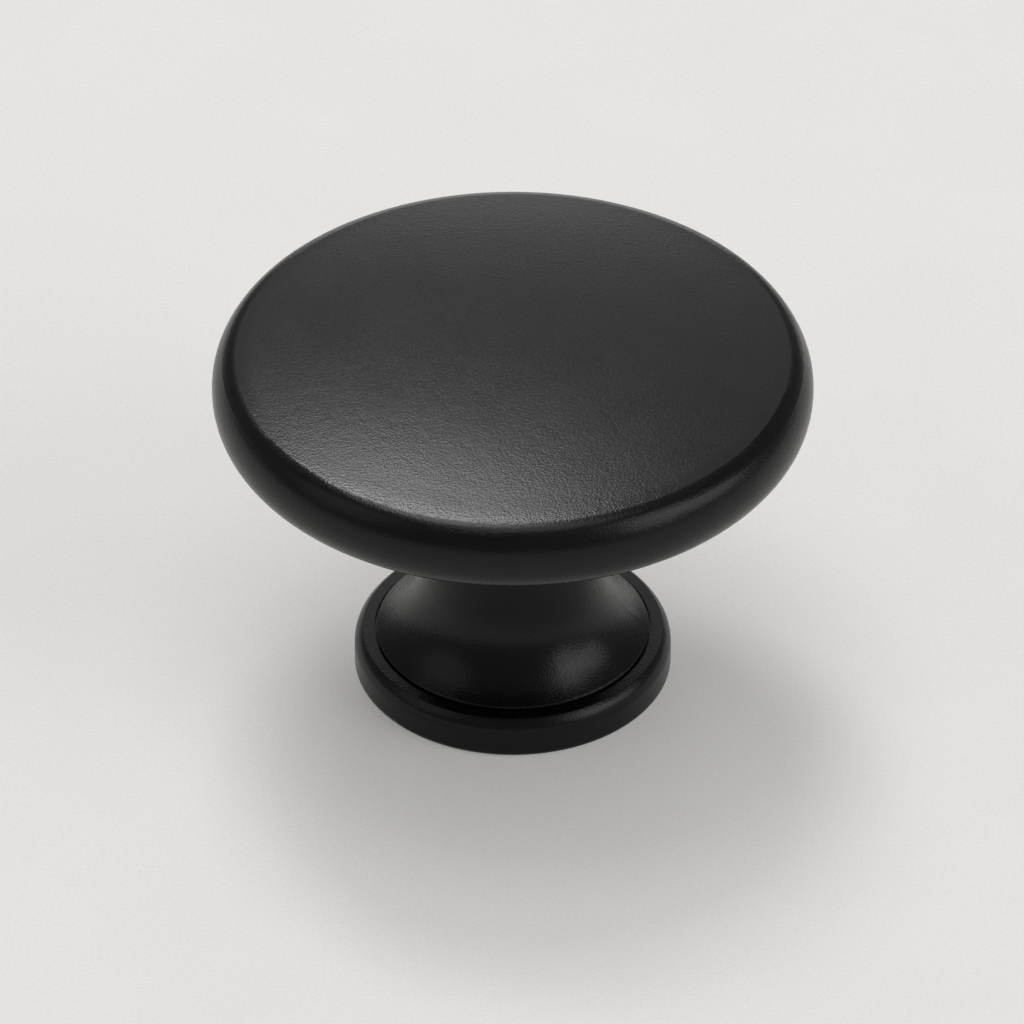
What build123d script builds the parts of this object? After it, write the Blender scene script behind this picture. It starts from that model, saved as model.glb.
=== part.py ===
from build123d import *
import os
from math import cos, radians, sin, sqrt, tan

# A one-piece cabinet knob: a wide mushroom cap on a waisted neck that flares down to a stepped round base.
# Millimetres. The origin is the centre of the flat base, which sits against the door or drawer front, and +Z
# points away from it, through the neck to the crown of the cap.

# Cap, the round head that the fingers hold
cap_diameter = 32.0
knob_height = 21.6          # from the base's flat face to the top of the crown
crown_radius = 92.0         # sphere that the slightly domed top belongs to
edge_radius = 1.2           # tight rounding that ends the top
shoulder_radius = 2.3       # fuller rounding from there to the cap's side
shoulder_slope = 50.0       # degrees from level where those two roundings meet
side_height = 0.2           # upright land on the side, between the two roundings
under_edge_radius = 2.3     # rounding from the side to the flat underside

# Neck
neck_diameter = 10.0
cove_radius = 5.5           # hollow rounding from the neck out to the cap's underside
flare_radius = 5.1          # hollow curve from the neck out to the lip above the base

# Base
lip_diameter = 14.7         # crisp rim where the flare ends
lip_height = 2.45
lip_edge_radius = 0.12
groove_width = 0.12         # fine groove around the foot of the lip
groove_depth = 0.15         # below the ledge
ring_diameter = 17.05       # the base's widest part
ring_height = 2.3           # narrow flat ledge between the groove and the ring's rounding
ring_round_radius = 1.05    # rounding from the ledge to the ring's side
ring_round_slope = 35.0     # degrees from level where the rounding leaves the ledge, at a crisp corner
ring_corner_radius = 0.05
foot_edge_radius = 0.35     # rounding from the ring's side to the flat face

# Blind screw hole in the base, for an M4 machine screw
thread_major_diameter = 4.0 # the threaded stretch's wall, at the roots of the thread
thread_depth = 10.5
hole_mouth_diameter = 4.8   # countersink that leads the screw in
countersink_angle = 90.0
tap_drill_diameter = 3.3    # plain stretch below the thread
tap_drill_depth = 12.5      # full-width depth, without the drill's point
drill_point_angle = 118.0

cap_radius = cap_diameter / 2
neck_radius = neck_diameter / 2
lip_radius = lip_diameter / 2
ring_radius = ring_diameter / 2
thread_major_radius = thread_major_diameter / 2
tap_drill_radius = tap_drill_diameter / 2

# Crown, edge and shoulder run into each other smoothly: two arcs touch where both centres are in line.
slope_sin = sin(radians(shoulder_slope))
slope_cos = cos(radians(shoulder_slope))
shoulder_centre_r = cap_radius - shoulder_radius
edge_centre_r = shoulder_centre_r + (shoulder_radius - edge_radius) * slope_sin
edge_reach = crown_radius - edge_radius
crown_centre_z = knob_height - crown_radius
edge_centre_z = crown_centre_z + sqrt(edge_reach**2 - edge_centre_r**2)
edge_start_r = edge_centre_r * crown_radius / edge_reach
edge_start_z = crown_centre_z + sqrt(crown_radius**2 - edge_start_r**2)
shoulder_centre_z = edge_centre_z - (shoulder_radius - edge_radius) * slope_cos
shoulder_start_r = shoulder_centre_r + shoulder_radius * slope_sin
shoulder_start_z = shoulder_centre_z + shoulder_radius * slope_cos

side_low_z = shoulder_centre_z - side_height
underside_z = side_low_z - under_edge_radius
cove_centre_r = neck_radius + cove_radius
cove_centre_z = underside_z - cove_radius

# The flare leaves the neck upright and runs down to the lip.
flare_centre_r = neck_radius + flare_radius
flare_drop = sqrt(flare_radius**2 - (flare_centre_r - lip_radius) ** 2)
waist_z = lip_height + flare_drop

groove_outer_r = lip_radius + groove_width
groove_floor_z = ring_height - groove_depth

# The rounding ends upright at the ring's side.
ring_round_centre_z = ring_height - ring_round_radius * cos(radians(ring_round_slope))
ledge_end_r = ring_radius - ring_round_radius * (1 - sin(radians(ring_round_slope)))


with BuildPart() as knob:
    # Half section, with the radius along X and the height along Z, turned once about the axis
    with BuildSketch(Plane.XZ) as half_section:
        with BuildLine():
            # Crown, edge and shoulder
            crown = RadiusArc((0, knob_height), (edge_start_r, edge_start_z), crown_radius)
            edge = RadiusArc(crown @ 1, (shoulder_start_r, shoulder_start_z), edge_radius)
            shoulder = RadiusArc(edge @ 1, (cap_radius, shoulder_centre_z), shoulder_radius)
            # Side and lower edge of the cap
            side = Line(shoulder @ 1, (cap_radius, side_low_z))
            under_edge = RadiusArc(side @ 1, (cap_radius - under_edge_radius, underside_z), under_edge_radius)
            underside = Line(under_edge @ 1, (cove_centre_r, underside_z))
            # Neck
            cove = RadiusArc(underside @ 1, (neck_radius, cove_centre_z), -cove_radius)
            waist = Line(cove @ 1, (neck_radius, waist_z))
            flare = RadiusArc(waist @ 1, (lip_radius, lip_height), -flare_radius)
            # Base
            riser = Line(flare @ 1, (lip_radius, groove_floor_z))
            groove_floor = Line(riser @ 1, (groove_outer_r, groove_floor_z))
            groove_wall = Line(groove_floor @ 1, (groove_outer_r, ring_height))
            ledge = Line(groove_wall @ 1, (ledge_end_r, ring_height))
            ring_round = RadiusArc(ledge @ 1, (ring_radius, ring_round_centre_z), ring_round_radius)
            ring_side = Line(ring_round @ 1, (ring_radius, foot_edge_radius))
            foot_edge = RadiusArc(ring_side @ 1, (ring_radius - foot_edge_radius, 0), foot_edge_radius)
            flat_face = Line(foot_edge @ 1, (0, 0))
            Line(flat_face @ 1, crown @ 0)
        make_face()
        lip_corner = half_section.vertices().sort_by_distance((lip_radius, lip_height, 0))[0]
        fillet(lip_corner, lip_edge_radius)
        ring_corner = half_section.vertices().sort_by_distance((ledge_end_r, ring_height, 0))[0]
        fillet(ring_corner, ring_corner_radius)
    revolve(axis=Axis.Z)

    # Screw hole, from the flat face up into the neck: tap drill first, then the wider threaded stretch
    with Locations(Plane(origin=(0, 0, 0), z_dir=(0, 0, -1))):
        Hole(tap_drill_radius, tap_drill_depth)
        CounterSinkHole(thread_major_radius, hole_mouth_diameter / 2, thread_depth, countersink_angle)
    drill_point_height = tap_drill_radius / tan(radians(drill_point_angle / 2))
    with Locations((0, 0, tap_drill_depth)):
        Cone(
            tap_drill_radius,
            0,
            drill_point_height,
            align=(Align.CENTER, Align.CENTER, Align.MIN),
            mode=Mode.SUBTRACT,
        )

os.makedirs("parts", exist_ok=True)
knob.part.label = "knob"
export_step(knob.part, "parts/knob.step")
print("volume mm3", round(knob.part.volume, 2), "valid", knob.part.is_valid)
print("box", knob.part.bounding_box())
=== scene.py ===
"""Looks of a matte black cabinet knob: powder coat, screw thread, pale studio floor and soft lamps."""

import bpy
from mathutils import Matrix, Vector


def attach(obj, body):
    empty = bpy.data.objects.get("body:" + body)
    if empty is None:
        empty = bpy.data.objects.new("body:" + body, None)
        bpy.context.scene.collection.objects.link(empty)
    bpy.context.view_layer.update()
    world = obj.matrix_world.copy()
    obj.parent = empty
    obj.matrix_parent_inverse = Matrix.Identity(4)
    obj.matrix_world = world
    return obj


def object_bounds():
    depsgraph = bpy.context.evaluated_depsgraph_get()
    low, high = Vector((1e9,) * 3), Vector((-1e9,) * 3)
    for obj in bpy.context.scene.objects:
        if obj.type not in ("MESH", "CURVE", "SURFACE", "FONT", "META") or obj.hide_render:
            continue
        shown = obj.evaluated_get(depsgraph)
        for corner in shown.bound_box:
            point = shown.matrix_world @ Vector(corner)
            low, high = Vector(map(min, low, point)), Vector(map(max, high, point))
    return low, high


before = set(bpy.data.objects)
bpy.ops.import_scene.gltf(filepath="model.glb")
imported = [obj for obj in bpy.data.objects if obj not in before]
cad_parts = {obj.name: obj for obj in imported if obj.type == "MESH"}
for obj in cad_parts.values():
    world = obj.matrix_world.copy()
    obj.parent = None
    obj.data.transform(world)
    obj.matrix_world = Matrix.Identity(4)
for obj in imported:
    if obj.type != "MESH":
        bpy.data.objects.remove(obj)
cad_box = [list(corner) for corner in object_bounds()]

import logging
import math
from dataclasses import dataclass, field
from enum import Enum

import bmesh
import bpy
from mathutils import Vector

MM = 0.001
IMAGE_WIDTH = 1024
ROOT_BODY = "root"
NOISE_LOW = 0.3
NOISE_HIGH = 0.7

log = logging.getLogger("cabinet_knob")


class Sum(Enum):
    """Sums that a material does with its values."""

    ADD = "ADD"
    SUBTRACT = "SUBTRACT"
    MULTIPLY = "MULTIPLY"
    ROOT = "SQRT"
    LARGER = "MAXIMUM"
    IS_BELOW = "LESS_THAN"
    IS_ABOVE = "GREATER_THAN"


class Shader:
    """A node material under construction, with short calls to add nodes and join them."""

    def __init__(self, name: str) -> None:
        """Starts an empty material with one Principled shader.

        Args:
            name: the material's name.
        """
        self.material = bpy.data.materials.new(name)
        self.material.use_nodes = True
        self.tree = self.material.node_tree
        self.surface = self.tree.nodes["Principled BSDF"]

    def add(self, kind: str, **settings: object) -> bpy.types.Node:
        """Adds a node.

        Args:
            kind: the node's type name.
            settings: node attributes to set.

        Returns:
            The new node.
        """
        node = self.tree.nodes.new(kind)
        for name, value in settings.items():
            setattr(node, name, value)
        return node

    def join(self, output: bpy.types.NodeSocket, target: bpy.types.NodeSocket) -> None:
        """Joins an output to an input."""
        self.tree.links.new(output, target)

    def set(self, slot: bpy.types.NodeSocket, value: object) -> None:
        """Gives an input its value.

        Args:
            slot: the input.
            value: a socket to join or a number.
        """
        if isinstance(value, bpy.types.NodeSocket):
            self.join(value, slot)
        else:
            slot.default_value = value

    def sums(self, kind: Sum, first: object, second: object = 0.0) -> bpy.types.NodeSocket:
        """Adds a Math node.

        Args:
            kind: the sum that it does.
            first: a socket or a number for the first input.
            second: a socket or a number for the second input.

        Returns:
            The node's output.
        """
        node = self.add("ShaderNodeMath", operation=kind.value)
        for slot, value in zip(node.inputs, (first, second)):
            self.set(slot, value)
        return node.outputs["Value"]

    def spread(self, value: bpy.types.NodeSocket, low: float, high: float) -> bpy.types.NodeSocket:
        """Stretches a noise value to a range.

        Args:
            value: a noise output that stays mostly between NOISE_LOW and NOISE_HIGH.
            low: the result where the noise is NOISE_LOW.
            high: the result where the noise is NOISE_HIGH.

        Returns:
            The stretched value, clamped to the range.
        """
        node = self.add("ShaderNodeMapRange")
        node.inputs["From Min"].default_value = NOISE_LOW
        node.inputs["From Max"].default_value = NOISE_HIGH
        node.inputs["To Min"].default_value = low
        node.inputs["To Max"].default_value = high
        self.join(value, node.inputs["Value"])
        return node.outputs["Result"]

    def noise(self, where: bpy.types.NodeSocket, grain_size: float, detail: float) -> bpy.types.NodeSocket:
        """Adds a noise of a real grain size.

        Args:
            where: the coordinates, in metres.
            grain_size: one grain's width in metres.
            detail: octaves of finer noise.

        Returns:
            The noise value.
        """
        node = self.add("ShaderNodeTexNoise")
        node.inputs["Scale"].default_value = 1.0 / grain_size
        node.inputs["Detail"].default_value = detail
        self.join(where, node.inputs["Vector"])
        return node.outputs["Fac"]

    def mix(self, share: bpy.types.NodeSocket, first: object, second: object) -> bpy.types.NodeSocket:
        """Mixes two numbers by a share.

        Args:
            share: 0 for the first, 1 for the second.
            first: a socket or a number.
            second: a socket or a number.

        Returns:
            The mixed number.
        """
        node = self.add("ShaderNodeMix", data_type="FLOAT")
        self.join(share, node.inputs[0])
        for slot, value in zip((node.inputs[2], node.inputs[3]), (first, second)):
            self.set(slot, value)
        return node.outputs[0]

    def ramp(self, value: bpy.types.NodeSocket, start: float, end: float) -> bpy.types.NodeSocket:
        """Makes a smooth rise from 0 to 1.

        Args:
            value: the value that it follows.
            start: the value where it is 0.
            end: the value where it is 1.

        Returns:
            The rise.
        """
        node = self.add("ShaderNodeMapRange", interpolation_type="SMOOTHSTEP")
        node.inputs["From Min"].default_value = start
        node.inputs["From Max"].default_value = end
        self.join(value, node.inputs["Value"])
        return node.outputs["Result"]

    def bump(
        self, relief: bpy.types.NodeSocket, height: float, under: bpy.types.NodeSocket | None = None
    ) -> bpy.types.NodeSocket:
        """Adds a layer of relief.

        Args:
            relief: the relief's value, from 0 to 1.
            height: the relief's height in metres where the value is 1.
            under: the normal of the relief underneath, if there is one.

        Returns:
            The normal.
        """
        node = self.add("ShaderNodeBump")
        node.inputs["Distance"].default_value = height
        self.join(relief, node.inputs["Height"])
        if under is not None:
            self.join(under, node.inputs["Normal"])
        return node.outputs["Normal"]


@dataclass(frozen=True)
class Relief:
    """One layer of relief on a coated surface."""

    grain_size: float
    height: float
    detail: float


@dataclass(frozen=True)
class PowderCoat:
    """Matte black powder coat with a fine sandy grain.

    It is smoother in a band at the rim of the cap's top. The screw hole is bare zinc, masked when the
    knob is coated.
    """

    name: str = "black_powder_coat"
    tone_low: float = 0.0020
    tone_high: float = 0.0030
    roughness_low: float = 0.25
    roughness_high: float = 0.28
    grain_roughness: float = 0.035
    specular_level: float = 0.25
    edge_start: float = 13.7 * MM
    edge_full: float = 14.6 * MM
    edge_fade: float = 14.7 * MM
    edge_end: float = 15.6 * MM
    edge_height: float = 18.0 * MM
    edge_roughness: float = 0.19
    bare_tone: float = 0.42
    bare_roughness: float = 0.38
    bare_radius: float = 2.42 * MM
    bare_height: float = 14.0 * MM
    peel: Relief = Relief(0.75 * MM, 0.0060 * MM, 1.0)
    sand: Relief = Relief(0.13 * MM, 0.0105 * MM, 1.0)
    cloud: Relief = Relief(3.2 * MM, 0.0, 3.0)

    def places(
        self, shader: Shader, where: bpy.types.NodeSocket
    ) -> tuple[bpy.types.NodeSocket, bpy.types.NodeSocket]:
        """Finds the screw hole and the rim of the cap's top by distance from the axis and by height.

        Args:
            shader: the material under construction.
            where: the object coordinates.

        Returns:
            Two values from 0 to 1: the first is 1 on the hole's bare wall, the second on the rim.
        """
        parts = shader.add("ShaderNodeSeparateXYZ")
        shader.join(where, parts.inputs[0])
        square_x = shader.sums(Sum.MULTIPLY, parts.outputs["X"], parts.outputs["X"])
        square_y = shader.sums(Sum.MULTIPLY, parts.outputs["Y"], parts.outputs["Y"])
        radius = shader.sums(Sum.ROOT, shader.sums(Sum.ADD, square_x, square_y))
        near_axis = shader.sums(Sum.IS_BELOW, radius, self.bare_radius)
        below = shader.sums(Sum.IS_BELOW, parts.outputs["Z"], self.bare_height)
        rise = shader.ramp(radius, self.edge_start, self.edge_full)
        band = shader.sums(Sum.SUBTRACT, rise, shader.ramp(radius, self.edge_fade, self.edge_end))
        above = shader.sums(Sum.IS_ABOVE, parts.outputs["Z"], self.edge_height)
        return shader.sums(Sum.MULTIPLY, near_axis, below), shader.sums(Sum.MULTIPLY, band, above)

    def make(self) -> bpy.types.Material:
        """Builds the material.

        Returns:
            The finished powder coat.
        """
        shader = Shader(self.name)
        where = shader.add("ShaderNodeTexCoord").outputs["Object"]
        bare, edge = self.places(shader, where)
        clouds = shader.noise(where, self.cloud.grain_size, self.cloud.detail)

        tone = shader.mix(bare, shader.spread(clouds, self.tone_low, self.tone_high), self.bare_tone)
        colour = shader.add("ShaderNodeCombineColor")
        for channel in colour.inputs:
            shader.join(tone, channel)
        shader.join(colour.outputs["Color"], shader.surface.inputs["Base Color"])

        sand = shader.noise(where, self.sand.grain_size, self.sand.detail)
        roughness = shader.sums(
            Sum.ADD,
            shader.spread(clouds, self.roughness_low, self.roughness_high),
            shader.spread(sand, self.grain_roughness, -self.grain_roughness),
        )
        coated = shader.mix(edge, roughness, self.edge_roughness)
        shader.join(shader.mix(bare, coated, self.bare_roughness), shader.surface.inputs["Roughness"])
        shader.join(bare, shader.surface.inputs["Metallic"])
        shader.surface.inputs["Specular IOR Level"].default_value = self.specular_level

        peel = shader.noise(where, self.peel.grain_size, self.peel.detail)
        smooth = shader.bump(peel, self.peel.height)
        shader.join(shader.bump(sand, self.sand.height, smooth), shader.surface.inputs["Normal"])
        return shader.material


@dataclass(frozen=True)
class CutZinc:
    """Bare zinc alloy as a tap leaves it, with fine lines along the cut."""

    name: str = "cut_zinc"
    tone: float = 0.45
    blue_share: float = 1.02
    roughness_low: float = 0.28
    roughness_high: float = 0.45
    line_size: float = 0.06 * MM
    line_height: float = 0.002 * MM
    line_detail: float = 2.0

    def make(self) -> bpy.types.Material:
        """Builds the material.

        Returns:
            The finished bare metal.
        """
        shader = Shader(self.name)
        where = shader.add("ShaderNodeTexCoord").outputs["Object"]
        lines = shader.noise(where, self.line_size, self.line_detail)
        blue = self.tone * self.blue_share
        shader.surface.inputs["Base Color"].default_value = (self.tone, self.tone, blue, 1.0)
        shader.surface.inputs["Metallic"].default_value = 1.0
        shader.join(
            shader.spread(lines, self.roughness_low, self.roughness_high), shader.surface.inputs["Roughness"]
        )
        shader.join(shader.bump(lines, self.line_height), shader.surface.inputs["Normal"])
        return shader.material


@dataclass(frozen=True)
class FloorPaint:
    """Pale matte paint of the studio floor, a little warm and uneven.

    For rays that show it, a share of its tone is plain, without light or shade.
    """

    name: str = "pale_floor_paint"
    red: float = 0.790
    green: float = 0.780
    blue: float = 0.764
    unevenness: float = 0.02
    patch_size: float = 9.0 * MM
    patch_detail: float = 3.0
    fleck_depth: float = 0.05
    fleck_size: float = 0.2 * MM
    fleck_detail: float = 1.0
    roughness: float = 0.9
    specular_level: float = 0.1
    plain_share: float = 0.3

    def seen_share(self, shader: Shader) -> bpy.types.NodeSocket:
        """Gives the share of the plain tone, for rays that show the floor.

        Args:
            shader: the material under construction.

        Returns:
            The share for camera, glossy and transmission rays, and 0 for those that light the object.
        """
        path = shader.add("ShaderNodeLightPath")
        mirrored = shader.sums(
            Sum.LARGER, path.outputs["Is Glossy Ray"], path.outputs["Is Transmission Ray"]
        )
        seen = shader.sums(Sum.LARGER, path.outputs["Is Camera Ray"], mirrored)
        return shader.sums(Sum.MULTIPLY, seen, self.plain_share)

    def make(self) -> bpy.types.Material:
        """Builds the material.

        Returns:
            The finished floor paint.
        """
        shader = Shader(self.name)
        where = shader.add("ShaderNodeTexCoord").outputs["Object"]
        patches = shader.noise(where, self.patch_size, self.patch_detail)
        flecks = shader.noise(where, self.fleck_size, self.fleck_detail)
        shade = shader.sums(
            Sum.MULTIPLY,
            shader.spread(patches, 1.0 - self.unevenness, 1.0),
            shader.spread(flecks, 1.0 - self.fleck_depth, 1.0),
        )
        colour = shader.add("ShaderNodeCombineColor")
        for channel, level in zip(colour.inputs, (self.red, self.green, self.blue)):
            shader.join(shader.sums(Sum.MULTIPLY, shade, level), channel)
        shader.join(colour.outputs["Color"], shader.surface.inputs["Base Color"])
        shader.surface.inputs["Roughness"].default_value = self.roughness
        shader.surface.inputs["Specular IOR Level"].default_value = self.specular_level

        plain = shader.add("ShaderNodeEmission")
        shader.join(colour.outputs["Color"], plain.inputs["Color"])
        blend = shader.add("ShaderNodeMixShader")
        shader.join(self.seen_share(shader), blend.inputs[0])
        shader.join(shader.surface.outputs["BSDF"], blend.inputs[1])
        shader.join(plain.outputs["Emission"], blend.inputs[2])
        shader.join(blend.outputs["Shader"], shader.tree.nodes["Material Output"].inputs["Surface"])
        return shader.material


@dataclass
class Knob:
    """The knob itself, one casting whose shape comes from the CAD node."""

    node: str = "knob"
    slot: str = "black_powder_coat"
    coat: PowderCoat = field(default_factory=PowderCoat)

    def dress(self) -> bpy.types.Object:
        """Gives the casting its powder coat.

        Returns:
            The CAD node's object.
        """
        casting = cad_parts[self.node]
        material = self.coat.make()
        for material_slot in casting.material_slots:
            material_slot.link = "OBJECT"
            material_slot.material = material
        return casting


@dataclass
class ScrewThread:
    """The M4 thread in the knob's screw hole: a helical ridge on the plain wall that the casting has."""

    name: str = "screw_thread"
    wall_radius: float = 2.0 * MM
    crest_radius: float = 1.65 * MM
    seat: float = 0.01 * MM
    pitch: float = 0.7 * MM
    flank_angle: float = math.radians(30)
    crest_share: float = 0.25
    rounding_share: float = 0.3
    mouth_radius: float = 2.4 * MM
    first_height: float = 0.42 * MM
    last_height: float = 10.1 * MM
    runout_turns: float = 1.0
    steps_per_turn: int = 64
    zinc: CutZinc = field(default_factory=CutZinc)

    def ridge_height(self, height: float) -> float:
        """Gives the ridge's height above the wall, which the mouth's countersink and the run-out cut down.

        Args:
            height: the height above the base's flat face.

        Returns:
            The ridge's height, from 0 to its full value.
        """
        full = self.wall_radius - self.crest_radius
        under_mouth = self.wall_radius - max(self.crest_radius, self.mouth_radius - height)
        before_end = full * (self.last_height - height) / (self.runout_turns * self.pitch)
        return max(0.0, min(full, under_mouth, before_end))

    def section(self, height: float) -> list[tuple[float, float]]:
        """Gives the ridge's outline at one place of the helix.

        Args:
            height: the height of the ridge's middle above the base's flat face.

        Returns:
            Pairs of radius and height, from the lower foot over the crest to the upper foot.
        """
        rise = self.ridge_height(height)
        half_crest = self.crest_share * self.pitch / 2
        full = self.wall_radius - self.crest_radius
        half_foot = half_crest + (full + self.seat) * math.tan(self.flank_angle)
        half_top = half_foot - (rise + self.seat) * math.tan(self.flank_angle)
        foot = self.wall_radius + self.seat
        crest = self.wall_radius - rise
        rounding = min(rise, half_crest) * self.rounding_share
        return [
            (foot, height - half_foot),
            (crest + rounding, height - half_top),
            (crest, height - half_top + rounding),
            (crest, height + half_top - rounding),
            (crest + rounding, height + half_top),
            (foot, height + half_foot),
        ]

    def build(self) -> bpy.types.Object:
        """Builds the ridge as a closed mesh and lets it ride on the knob.

        Returns:
            The thread's object.
        """
        mesh = bmesh.new()
        turns = (self.last_height - self.first_height) / self.pitch
        steps = round(turns * self.steps_per_turn)
        rings = []
        for step in range(steps + 1):
            angle = 2 * math.pi * step / self.steps_per_turn
            height = self.first_height + (self.last_height - self.first_height) * step / steps
            ring = [
                mesh.verts.new((radius * math.cos(angle), radius * math.sin(angle), level))
                for radius, level in self.section(height)
            ]
            rings.append(ring)
        for ring, following in zip(rings, rings[1:]):
            for corner in range(len(ring)):
                after = (corner + 1) % len(ring)
                mesh.faces.new((ring[corner], ring[after], following[after], following[corner]))
        mesh.faces.new(reversed(rings[0]))
        mesh.faces.new(rings[-1])
        bmesh.ops.recalc_face_normals(mesh, faces=mesh.faces)
        data = bpy.data.meshes.new(self.name)
        mesh.to_mesh(data)
        mesh.free()
        data.materials.append(self.zinc.make())
        thread = bpy.data.objects.new(self.name, data)
        bpy.context.scene.collection.objects.link(thread)
        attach(thread, ROOT_BODY)
        return thread


@dataclass(frozen=True)
class SoftLamp:
    """A soft lamp at a bearing round the knob, counted from the front towards the right.

    The spread is the angle that its face takes up as seen from the knob. The light is what reaches the
    knob, in watts a square metre.
    """

    name: str
    bearing: float
    elevation: float
    spread: float
    light: float
    distance: float = 1.6

    def hang(self, target: Vector) -> bpy.types.Object:
        """Hangs the lamp so that it faces the knob.

        Args:
            target: the point that it faces.

        Returns:
            The lamp's object.
        """
        data = bpy.data.lights.new(self.name, "AREA")
        data.shape = "DISK"
        radius = self.distance * math.tan(math.radians(self.spread / 2))
        data.size = 2 * radius
        data.energy = math.pi * (self.distance**2 + radius**2) * self.light
        lamp = bpy.data.objects.new(self.name, data)
        turn = math.radians(self.bearing)
        rise = math.radians(self.elevation)
        away = Vector((math.sin(turn) * math.cos(rise), -math.cos(turn) * math.cos(rise), math.sin(rise)))
        lamp.location = target + away * self.distance
        lamp.rotation_mode = "QUATERNION"
        lamp.rotation_quaternion = away.to_track_quat("Z", "Y")
        bpy.context.scene.collection.objects.link(lamp)
        return lamp


@dataclass
class Studio:
    """The pale floor, the soft lamps and the dim room around them."""

    floor_reach: float = 2.5
    room_tone: float = 0.23
    paint: FloorPaint = field(default_factory=FloorPaint)
    lamps: tuple[SoftLamp, ...] = (
        SoftLamp("overhead_box", bearing=0, elevation=85, spread=40, light=0.5),
        SoftLamp("back_top_box", bearing=215, elevation=75, spread=25, light=0.5),
        SoftLamp("back_key_box", bearing=188, elevation=60, spread=16, light=0.75),
        SoftLamp("back_left_box", bearing=200, elevation=52, spread=12, light=0.35),
        SoftLamp("back_box", bearing=180, elevation=38, spread=40, light=0.18),
        SoftLamp("back_low_box", bearing=180, elevation=6, spread=26, light=0.2),
        SoftLamp("left_box", bearing=290, elevation=35, spread=40, light=0.15),
        SoftLamp("front_right_box", bearing=60, elevation=40, spread=26, light=0.3),
        SoftLamp("front_right_low_box", bearing=55, elevation=22, spread=26, light=0.3),
        SoftLamp("right_low_box", bearing=80, elevation=22, spread=26, light=0.3),
    )

    def lay_floor(self) -> bpy.types.Object:
        """Lays the floor under the knob.

        Returns:
            The floor's object.
        """
        mesh = bmesh.new()
        bmesh.ops.create_grid(mesh, x_segments=1, y_segments=1, size=self.floor_reach)
        data = bpy.data.meshes.new("studio_floor")
        mesh.to_mesh(data)
        mesh.free()
        data.materials.append(self.paint.make())
        floor = bpy.data.objects.new("studio_floor", data)
        bpy.context.scene.collection.objects.link(floor)
        return floor

    def dim_room(self) -> None:
        """Gives the room around the set a plain dim tone."""
        world = bpy.data.worlds.new("studio_room")
        world.use_nodes = True
        background = world.node_tree.nodes["Background"]
        background.inputs["Color"].default_value = (self.room_tone, self.room_tone, self.room_tone, 1.0)
        bpy.context.scene.world = world

    def build(self, target: Vector) -> None:
        """Sets up the floor, the room and the lamps.

        Args:
            target: the point that the lamps face.
        """
        self.lay_floor()
        self.dim_room()
        for lamp in self.lamps:
            lamp.hang(target)
            log.info("lamp %s hangs at %g degrees", lamp.name, lamp.elevation)


@dataclass
class Camera:
    """A long lens that looks down on the knob from the front, as the photograph does."""

    elevation: float = math.radians(36.9)
    distance: float = 749.5 * MM
    target_height: float = 10.03 * MM
    focal_pixels: float = 14000.0
    sensor_width: float = 36.0
    pan_pixels: float = 0.75
    near_share: float = 0.1
    far_share: float = 20.0

    def stand(self) -> bpy.types.Object:
        """Stands the camera in its place and makes it the scene's own.

        Returns:
            The camera's object.
        """
        data = bpy.data.cameras.new("photo_camera")
        data.sensor_width = self.sensor_width
        data.lens = self.focal_pixels * self.sensor_width / IMAGE_WIDTH
        data.shift_x = -self.pan_pixels / IMAGE_WIDTH
        data.clip_start = self.distance * self.near_share
        data.clip_end = self.distance * self.far_share
        camera = bpy.data.objects.new("photo_camera", data)
        back = self.distance * math.cos(self.elevation)
        up = self.distance * math.sin(self.elevation)
        camera.location = (0.0, -back, self.target_height + up)
        camera.rotation_euler = (math.pi / 2 - self.elevation, 0.0, 0.0)
        bpy.context.scene.collection.objects.link(camera)
        bpy.context.scene.camera = camera
        return camera


def report(piece: bpy.types.Object) -> None:
    """Logs a piece's name and the number of its faces."""
    log.info("piece %s has %d faces", piece.name, len(piece.data.polygons))


def main() -> None:
    """Builds the camera, the studio and the knob, and reports each piece."""
    logging.basicConfig(level=logging.INFO, format="%(name)s: %(message)s")
    scene = bpy.context.scene
    scene.view_settings.view_transform = "Standard"
    Camera().stand()
    knob_low, knob_high = (Vector(corner) for corner in cad_box)
    Studio().build((knob_low + knob_high) / 2)
    report(Knob().dress())
    report(ScrewThread().build())


if __name__ == "__main__":
    main()
